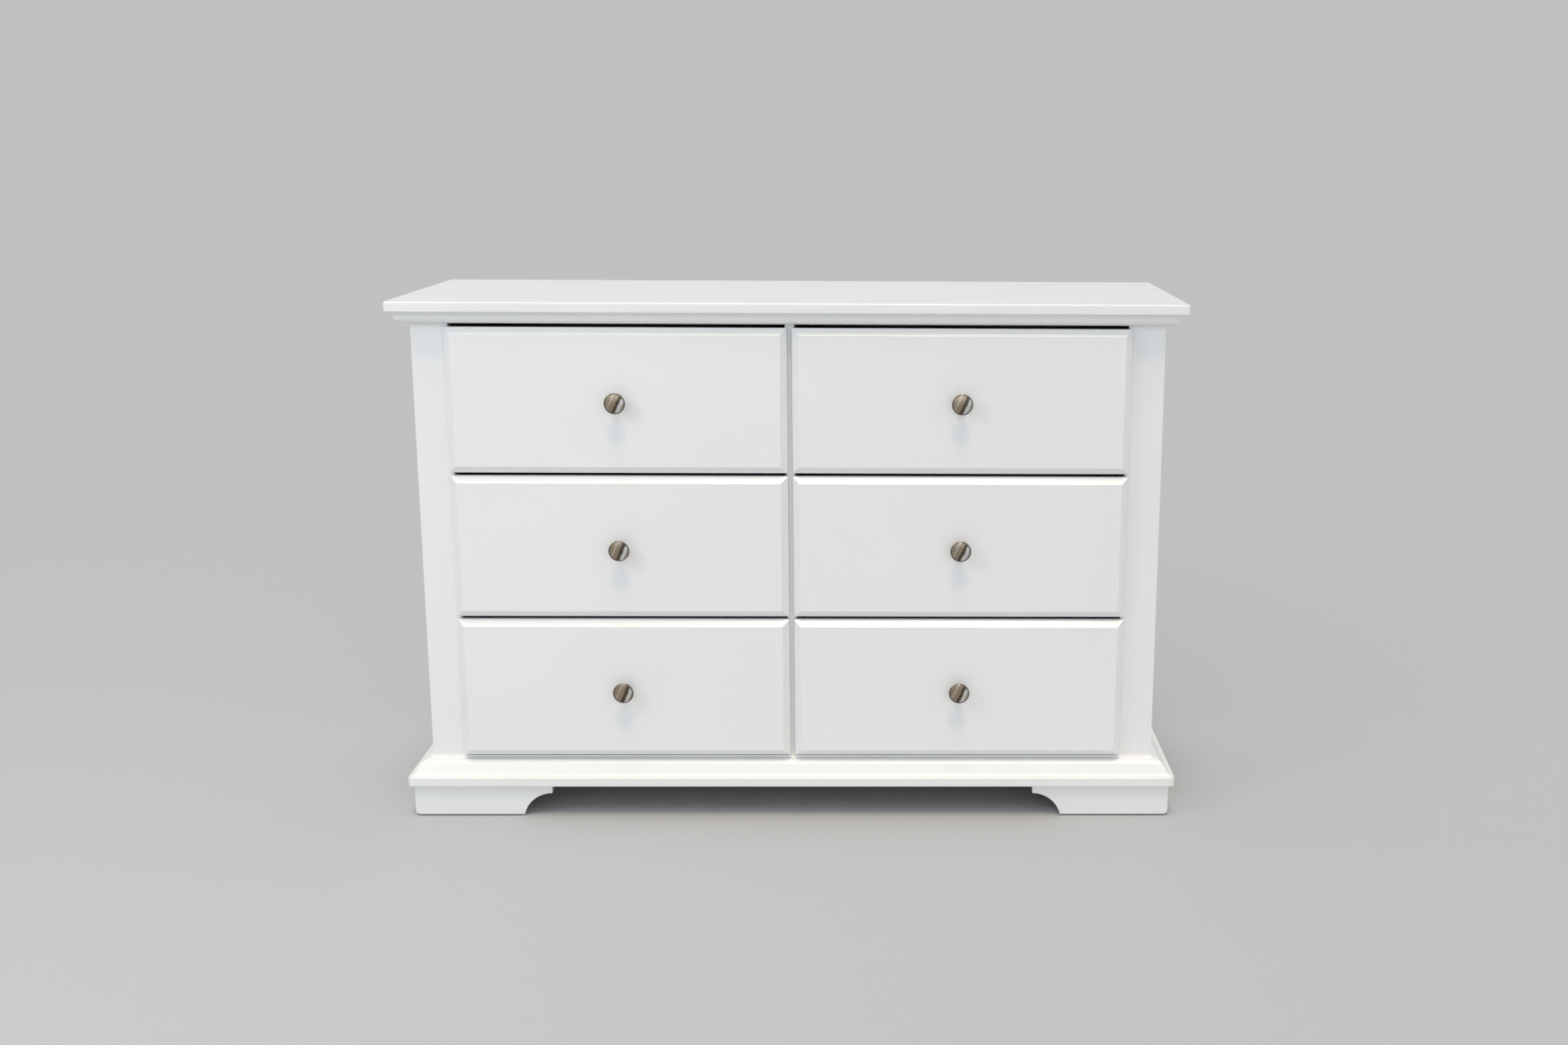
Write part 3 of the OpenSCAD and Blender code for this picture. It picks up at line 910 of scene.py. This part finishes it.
backPins = {
    "radius": 1.6 * mm,
    "proud": 0.5 * mm,
    "chamfer": 0.4 * mm,
    "rim": 0.1 * mm,
    "length": 5 * mm,
    "inset": 5 * mm,  # from the panel's edge
    "bottomRise": 30 * mm,  # lowest row, level with the case bottom
    "topDrop": 4 * mm,
    "spacing": 100 * mm,
}


def makeBackPins():
    low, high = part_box("back_panel")
    inset, radius, proud = backPins["inset"], backPins["radius"], backPins["proud"]
    shank, length = radius / 2, backPins["length"]
    outline = [(0, proud), (radius - backPins["chamfer"], proud), (radius, backPins["rim"])]
    outline += [(radius, 0), (shank, 0), (shank, radius - length), (0, -length)]
    pin = spinOutline("pin", [Vector((r, y, 0)) for r, y in outline], (0, 0, 0), (0, 1, 0), 16)
    across = round((high.x - low.x) / backPins["spacing"])
    up = round((high.z - low.z) / backPins["spacing"])
    places = []
    for i in range(1, across):
        x = low.x + inset + (high.x - low.x - 2 * inset) * i / across
        places += [(x, low.z + backPins["bottomRise"] + inset), (x, high.z - inset - backPins["topDrop"])]
    for i in range(up + 1):
        z = low.z + inset + (high.z - low.z - 2 * inset) * i / up
        places += [(low.x + inset, z), (0, z), (high.x - inset, z)]
    pins = [copyPiece(pin, "back_pin", (x, high.y, z)) for x, z in places]
    bpy.data.objects.remove(pin)
    finishPiece(joinPieces("back_panel_pins", pins), screwZinc, "case")


makeBackPins()


# Glides: a round nylon disc with a nail sunk in its middle

glide = {
    "nailRadius": 2.4 * mm,
    "nailDepth": 1.2 * mm,
    "recessRadius": 3 * mm,
    "recessLip": 0.2 * mm,  # height of the eased edge round the recess
    "lipRadius": 3.6 * mm,
    "rounding": 3 * mm,
}


def makeGlides():
    nail, sunk, rounding = glide["nailRadius"], glide["nailDepth"], glide["rounding"]
    parts = []
    for low, high in solidBoxes("foot_glides"):
        centre = Vector(((low.x + high.x) / 2, (low.y + high.y) / 2, 0))
        radius, height = (high.x - low.x) / 2, high.z
        points = [(0, sunk), (nail, sunk), (glide["recessRadius"], glide["recessLip"])]
        points += [(glide["lipRadius"], 0)]
        points += arcPoints(radius - rounding, rounding, rounding, rounding, -90, 0, 6)
        points += [(radius, height), (0, height)]
        line = [centre + Vector((r, 0, z)) for r, z in points]
        parts.append(spinOutline("glide", line, centre, (0, 0, 1), 32))
    finishPiece(joinPieces("nylon_glides", parts), glideNylon, "case", ["foot_glides"])


makeGlides()


# Drawer fronts: a board whose face is inset and raised to a broad bevel

drawerFront = {
    "bevelWidth": 11.5 * mm,
    "bevelDepth": 10 * mm,
    "fieldEase": 0.5 * mm,
    "rimEase": 0.9 * mm,
    "holeRadius": 2.2 * mm,
}


def knobCentre(name):
    low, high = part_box(f"{name}_knob")
    return Vector(((low.x + high.x) / 2, low.y, (low.z + high.z) / 2))


def makeFronts():
    low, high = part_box(f"{firstDrawer}_front")
    rimY = low.y + drawerFront["bevelDepth"]
    board = addBlock("drawer_front", (low.x, rimY, low.z), high)
    pick(board, "FACE", lambda face: face.normal.y < -0.9)
    bpy.ops.mesh.inset(thickness=drawerFront["bevelWidth"], depth=drawerFront["bevelDepth"])
    endEdit()
    easeEdges(
        board, drawerFront["fieldEase"], 3,
        lambda edge: all(v.co.y < low.y + 0.1 * mm for v in edge.verts),
    )
    easeEdges(board, drawerFront["rimEase"], 3, lambda edge: isSharp(edge, 30) and edge.calc_length() > 0.1)
    centre = knobCentre(firstDrawer)
    hole = addRod("hole", centre, (centre.x, high.y + mm, centre.z), drawerFront["holeRadius"])
    combine(board, hole, "DIFFERENCE")
    for name in drawerNames:
        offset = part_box(f"{name}_front")[0] - low
        piece = copyPiece(board, f"{name}_drawer_front", offset)
        finishPiece(piece, whiteLacquer, f"{name}_drawer", [f"{name}_front"], 25)
    bpy.data.objects.remove(board)


makeFronts()
print("drawer fronts raised")


# Knobs and screws

knob = {
    "footRadius": 8.5 * mm,
    "footRounding": 0.8 * mm,
    "neckRadius": 6 * mm,
    "neckFrom": 8 * mm,  # distance out from the drawer front
    "footHollow": 6 * mm,
    "flareFrom": 10 * mm,
    "flareInset": 1.2 * mm,
    "headRadius": 17.5 * mm,
    "rimRadius": 1.3 * mm,
    "rimWidth": 0.6 * mm,  # flat ring outside the groove
    "rimPaintedHighlight": 120,  # degrees round from the right where a painted highlight lightens the ring's painted shade
    "grooveDepth": 0.35 * mm,
    "grooveWall": 0.5 * mm,
    "grooveLip": 0.02 * mm,
    "domeRadius": 120 * mm,
    "steps": 72,
    "lean": 25,  # degrees that the brushing leans off upright
    "screwHead": (3.9 * mm, 2.3 * mm),  # radius and height
    "screwShank": 1.9 * mm,
    "screwGrip": 6 * mm,  # how far the screw reaches into the knob
}


def makeKnobs():
    low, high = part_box(f"{firstDrawer}_knob")
    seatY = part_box(f"{firstDrawer}_front")[0].y
    out = seatY - low.y
    centre = Vector((knobCentre(firstDrawer).x, seatY, knobCentre(firstDrawer).z))
    head, rim, neck, footR = knob["headRadius"], knob["rimRadius"], knob["neckRadius"], knob["footRadius"]

    def domeAt(r):
        return out - (knob["domeRadius"] - math.sqrt(knob["domeRadius"] ** 2 - r * r))

    inner = head - rim - knob["rimWidth"]
    edge = domeAt(head - rim)
    rounding, flareFrom = knob["footRounding"], knob["flareFrom"]
    flareOut = head - knob["flareInset"]
    flareRise = edge - rim - knob["flareInset"] - flareFrom
    wall = inner + knob["grooveWall"]
    outline = [(0, 0), (footR - rounding / 2, 0)]
    outline += arcPoints(footR - rounding, rounding, rounding, rounding, -60, 60, 4)
    outline += arcPoints(footR, knob["neckFrom"], footR - neck, knob["footHollow"], 255, 180, 8)
    outline += arcPoints(flareOut, flareFrom, flareOut - neck, flareRise, 180, 90, 14)
    outline += arcPoints(head - rim, edge - rim, rim, rim, -50, 90, 8)
    outline += [(wall, domeAt(wall) + knob["grooveLip"]), (inner, domeAt(inner) - knob["grooveDepth"])]
    outline += [(inner * k / 6, domeAt(inner * k / 6)) for k in (5.85, 5, 4, 3, 2, 1, 0)]
    line = [centre + Vector((r, -y, 0)) for r, y in outline]
    turned = spinOutline("knob", line, centre, (0, 1, 0), knob["steps"])
    markBrushing(turned, centre)
    headRadius, headHeight = knob["screwHead"]
    length = high.y - seatY + knob["screwGrip"]
    screw = makeScrew("knob_screw", headRadius, knob["screwShank"], length, headHeight)
    first = Vector((centre.x, high.y, centre.z))
    for name in drawerNames:
        offset = knobCentre(name) - knobCentre(firstDrawer)
        piece = copyPiece(turned, f"{name}_drawer_knob", offset)
        finishPiece(piece, brushedNickel, f"{name}_drawer", [f"{name}_knob"])
        fixing = copyPiece(screw, f"{name}_knob_screw", first + offset)
        finishPiece(fixing, screwZinc, f"{name}_drawer", [f"{name}_knob"])
    bpy.data.objects.remove(turned)
    bpy.data.objects.remove(screw)


def markBrushing(piece, centre):
    # how far across the brushing each point lies, from 0 to 1 over the head
    lean = math.radians(knob["lean"])
    inner = knob["headRadius"] - knob["rimRadius"] - knob["rimWidth"]
    marks = piece.data.attributes.new("acrossBrushing", "FLOAT", "POINT")
    shades = piece.data.attributes.new("rimPaintedShade", "FLOAT", "POINT")
    for mark, shade, vertex in zip(marks.data, shades.data, piece.data.vertices):
        x, z = vertex.co.x - centre.x, vertex.co.z - centre.z
        mark.value = 0.5 + (x * math.cos(lean) - z * math.sin(lean)) / (2 * knob["headRadius"])
        # painted shade on the ring round the face, lifted where a painted highlight falls
        if math.hypot(x, z) > inner - 0.1 * mm:
            paintedHighlight = math.cos(math.atan2(z, x) - math.radians(knob["rimPaintedHighlight"]))
            shade.value = 1 - 0.8 * max(0, paintedHighlight) ** 8


panHead = {
    # shares of the head's radius
    "flat": 0.55,
    "recessReach": 0.55,
    "recessWidth": 0.1,
    # shares of its height
    "flatFall": 0.06,
    "rimFall": 0.75,
    "recessDepth": 0.6,
    "recessTaper": 0.6,  # size of the recess at its bottom
}


def makeScrew(name, headRadius, shankRadius, length, headHeight):
    # a pan head with a cross recess, whose top is at the origin and whose shank points to -Y
    flat = headRadius * panHead["flat"]
    fall, drop = headHeight * panHead["flatFall"], headHeight * panHead["rimFall"]
    outline = [(0, 0), (flat, -fall), *arcPoints(flat, -drop, headRadius - flat, drop - fall, 80, 0, 6)]
    outline += [(headRadius, -headHeight), (shankRadius, -headHeight), (shankRadius, -length + shankRadius)]
    outline += [(0, -length)]
    piece = spinOutline(name, [Vector((r, y, 0)) for r, y in outline], (0, 0, 0), (0, 1, 0), 24)
    for sideways in (True, False):
        wide, thin = headRadius * panHead["recessReach"], headRadius * panHead["recessWidth"]
        reach = Vector((wide, 0, thin)) if sideways else Vector((thin, 0, wide))
        bottom = Vector((0, -headHeight * panHead["recessDepth"], 0))
        slot = addBlock("slot", bottom - reach, reach + Vector((0, mm, 0)))
        pick(slot, "FACE", lambda face: face.normal.y < -0.9)
        bpy.ops.transform.resize(value=(panHead["recessTaper"], 1, panHead["recessTaper"]))
        endEdit()
        combine(piece, slot, "DIFFERENCE")
    return piece


makeKnobs()
print("knobs turned")


# Drawer boxes: four boards dovetailed at the corners and grooved for a plywood floor

drawerBox = {
    "tails": 5,
    "pinNarrow": 7 * mm,  # height of a pin at the board's end
    "pinWide": 11 * mm,
    "fit": 0.12 * mm,  # shadow line round each pin
    "topEase": 3 * mm,
    "floorEase": 0.4 * mm,
    "floorSlack": 0.3 * mm,
}


def pinBlock(low, high, narrowY, grow=0.0):
    # a tapered pin: its face at narrowY is squeezed in height
    extra = Vector((0, 0, grow))
    block = addBlock("pin", low - extra, high + extra)
    pick(block, "FACE", lambda face: abs(face.calc_center_median().y - narrowY) < 0.1 * mm)
    squeeze = (drawerBox["pinNarrow"] + 2 * grow) / (drawerBox["pinWide"] + 2 * grow)
    bpy.ops.transform.resize(value=(1, 1, squeeze))
    endEdit()
    return block


def runsBack(box):
    return box[1].y - box[0].y > box[1].x - box[0].x


def makeBoxes():
    solids = solidBoxes(f"{firstDrawer}_box")
    sides = sorted((box for box in solids if runsBack(box)), key=lambda box: box[0].x)
    ends = sorted((box for box in solids if not runsBack(box)), key=lambda box: box[0].y)
    low, high = sides[0][0], sides[1][1]
    floorLow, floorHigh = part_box(f"{firstDrawer}_floor")
    slack = Vector((1, 1, 1)) * drawerBox["floorSlack"]
    pitch = (high.z - low.z) / drawerBox["tails"]
    sideBoards = [addBlock("side", *box) for box in sides]
    endBoards = [addBlock("end", *box) for box in ends]
    for board in sideBoards + endBoards:
        easeEdges(
            board, drawerBox["topEase"], 4,
            lambda edge: all(v.co.z > high.z - 0.1 * mm for v in edge.verts) and edge.calc_length() > 0.1,
        )
        combine(board, addBlock("groove", floorLow - slack, floorHigh + slack), "DIFFERENCE")
    for endBoard, endBox in zip(endBoards, ends):
        narrowY = endBox[0].y if endBox is ends[0] else endBox[1].y
        for sideBoard, sideBox in zip(sideBoards, sides):
            meet = mm if sideBox is sides[0] else -mm
            for i in range(drawerBox["tails"]):
                middle = low.z + pitch * (i + 0.5)
                pinLow = Vector((sideBox[0].x, endBox[0].y, middle - drawerBox["pinWide"] / 2))
                pinHigh = Vector((sideBox[1].x, endBox[1].y, middle + drawerBox["pinWide"] / 2))
                along = Vector((0.5 * mm, 0, 0))
                socket = pinBlock(pinLow - along, pinHigh + along, narrowY, drawerBox["fit"])
                combine(sideBoard, socket, "DIFFERENCE")
                root = Vector((meet, 0, 0))
                pin = pinBlock(pinLow + min(root, Vector()), pinHigh + max(root, Vector()), narrowY)
                combine(endBoard, pin, "UNION")
    centre = knobCentre(firstDrawer)
    start, end = (centre.x, low.y - mm, centre.z), (centre.x, ends[0][1].y + mm, centre.z)
    hole = addRod("hole", start, end, drawerFront["holeRadius"])
    combine(endBoards[0], hole, "DIFFERENCE")
    for board in sideBoards:
        board.data.materials.append(timberAlong)
    for board in endBoards:
        board.data.materials.append(timberAcross)
    box = joinPieces("drawer_box", sideBoards + endBoards)
    for name in drawerNames:
        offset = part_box(f"{name}_box")[0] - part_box(f"{firstDrawer}_box")[0]
        piece = copyPiece(box, f"{name}_drawer_box", offset)
        finishPiece(piece, None, f"{name}_drawer", [f"{name}_box"])
        floor = copyNode(f"{name}_floor", f"{name}_drawer_floor")
        easeEdges(floor, drawerBox["floorEase"], 2)
        finishPiece(floor, drawerPlywood, f"{name}_drawer", [f"{name}_floor"])
    bpy.data.objects.remove(box)


makeBoxes()
print("drawer boxes dovetailed")


# Runners: rolled steel channels with bent corners, slotted webs and pan-head screws

runner = {
    "steel": 1.2 * mm,
    "bend": 2.4 * mm,
    "slotLength": 14 * mm,
    "slotHeight": 5 * mm,
    "slots": (0.12, 0.5, 0.86),  # where along the member
    "screws": (0.06, 0.31, 0.69, 0.94),
    "screwRadius": 3.4 * mm,
    "screwHead": 1.4 * mm,
    "screwShank": 1.5 * mm,
    "screwLength": 2.2 * mm,
}


def channelOutline(depth, height):
    # web at 0, opening towards +X, drawn round the outside and back along the inside
    bend, steel, half = runner["bend"], runner["steel"], height / 2
    inside = bend - steel
    return [
        (depth, -half), *arcPoints(bend, bend - half, bend, bend, 270, 180, 5),
        *arcPoints(bend, half - bend, bend, bend, 180, 90, 5), (depth, half),
        (depth, half - steel), *arcPoints(bend, half - bend, inside, inside, 90, 180, 5),
        *arcPoints(bend, bend - half, inside, inside, 180, 270, 5), (depth, steel - half),
    ]


def makeMember(name, low, high, opensRight):
    depth, height, length = high.x - low.x, high.z - low.z, high.y - low.y
    middle = (low.z + high.z) / 2
    member = extrudeOutline(
        name, [Vector((x, 0, z)) for x, z in channelOutline(depth, height)], (0, length, 0)
    )
    for share in runner["slots"]:
        reach = Vector((2 * mm, runner["slotLength"] / 2, runner["slotHeight"] / 2))
        centre = Vector((0, length * share, 0))
        slot = addBlock("slot", centre - reach, centre + reach)
        easeEdges(
            slot, runner["slotHeight"] * 0.49, 5,
            lambda edge: abs(edge.verts[0].co.x - edge.verts[1].co.x) > mm,
        )
        combine(member, slot, "DIFFERENCE")
    return movePiece(member, (low.x if opensRight else high.x, low.y, middle), mirrored=not opensRight)


def screwMember(member, screw, low, high, opensRight):
    # pan heads inside the channel, seated on its web
    web = low.x + runner["steel"] if opensRight else high.x - runner["steel"]
    for share in runner["screws"]:
        head = copyPiece(screw, "member_screw", mirrored=not opensRight)
        movePiece(head, (web, low.y + (high.y - low.y) * share, (low.z + high.z) / 2))
        member = joinPieces(member.name, [member, head])
    return member


def makeScrewHead():
    # the part of a pan-head screw that stands inside a channel, facing +X
    head, shank = runner["screwHead"], runner["screwShank"]
    screw = makeScrew("runner_screw", runner["screwRadius"], shank, runner["screwLength"], head)
    startEdit(screw)
    bpy.ops.mesh.select_all(action="SELECT")
    bpy.ops.transform.rotate(value=math.pi / 2, orient_axis="Z", center_override=(0, 0, 0))
    endEdit()
    return movePiece(screw, (head, 0, 0))


def makeRunners():
    screw = makeScrewHead()
    columnX = {column: knobCentre(f"upper_{column}").x for column in columnNames}
    caseMembers = []
    for low, high in solidBoxes("case_runners"):
        opensRight = low.x < columnX["right" if low.x > 0 else "left"]
        member = makeMember("case_member", low, high, opensRight)
        caseMembers.append(screwMember(member, screw, low, high, opensRight))
    piece = joinPieces("case_runner_members", caseMembers)
    finishPiece(piece, runnerZinc, "case", ["case_runners"])
    for name in drawerNames:
        for part, body in (("slide", "slides"), ("runner", "drawer")):
            members = []
            for low, high in solidBoxes(f"{name}_{part}"):
                # case and middle members open towards the drawer, the drawer's own members towards the case
                onLeft = low.x < columnX["right" if low.x > 0 else "left"]
                members.append(makeMember("member", low, high, onLeft == (part == "slide")))
            piece = joinPieces(f"{name}_{part}_members", members)
            finishPiece(piece, runnerZinc, f"{name}_{body}", [f"{name}_{part}"])
    bpy.data.objects.remove(screw)


makeRunners()
print("runners rolled")
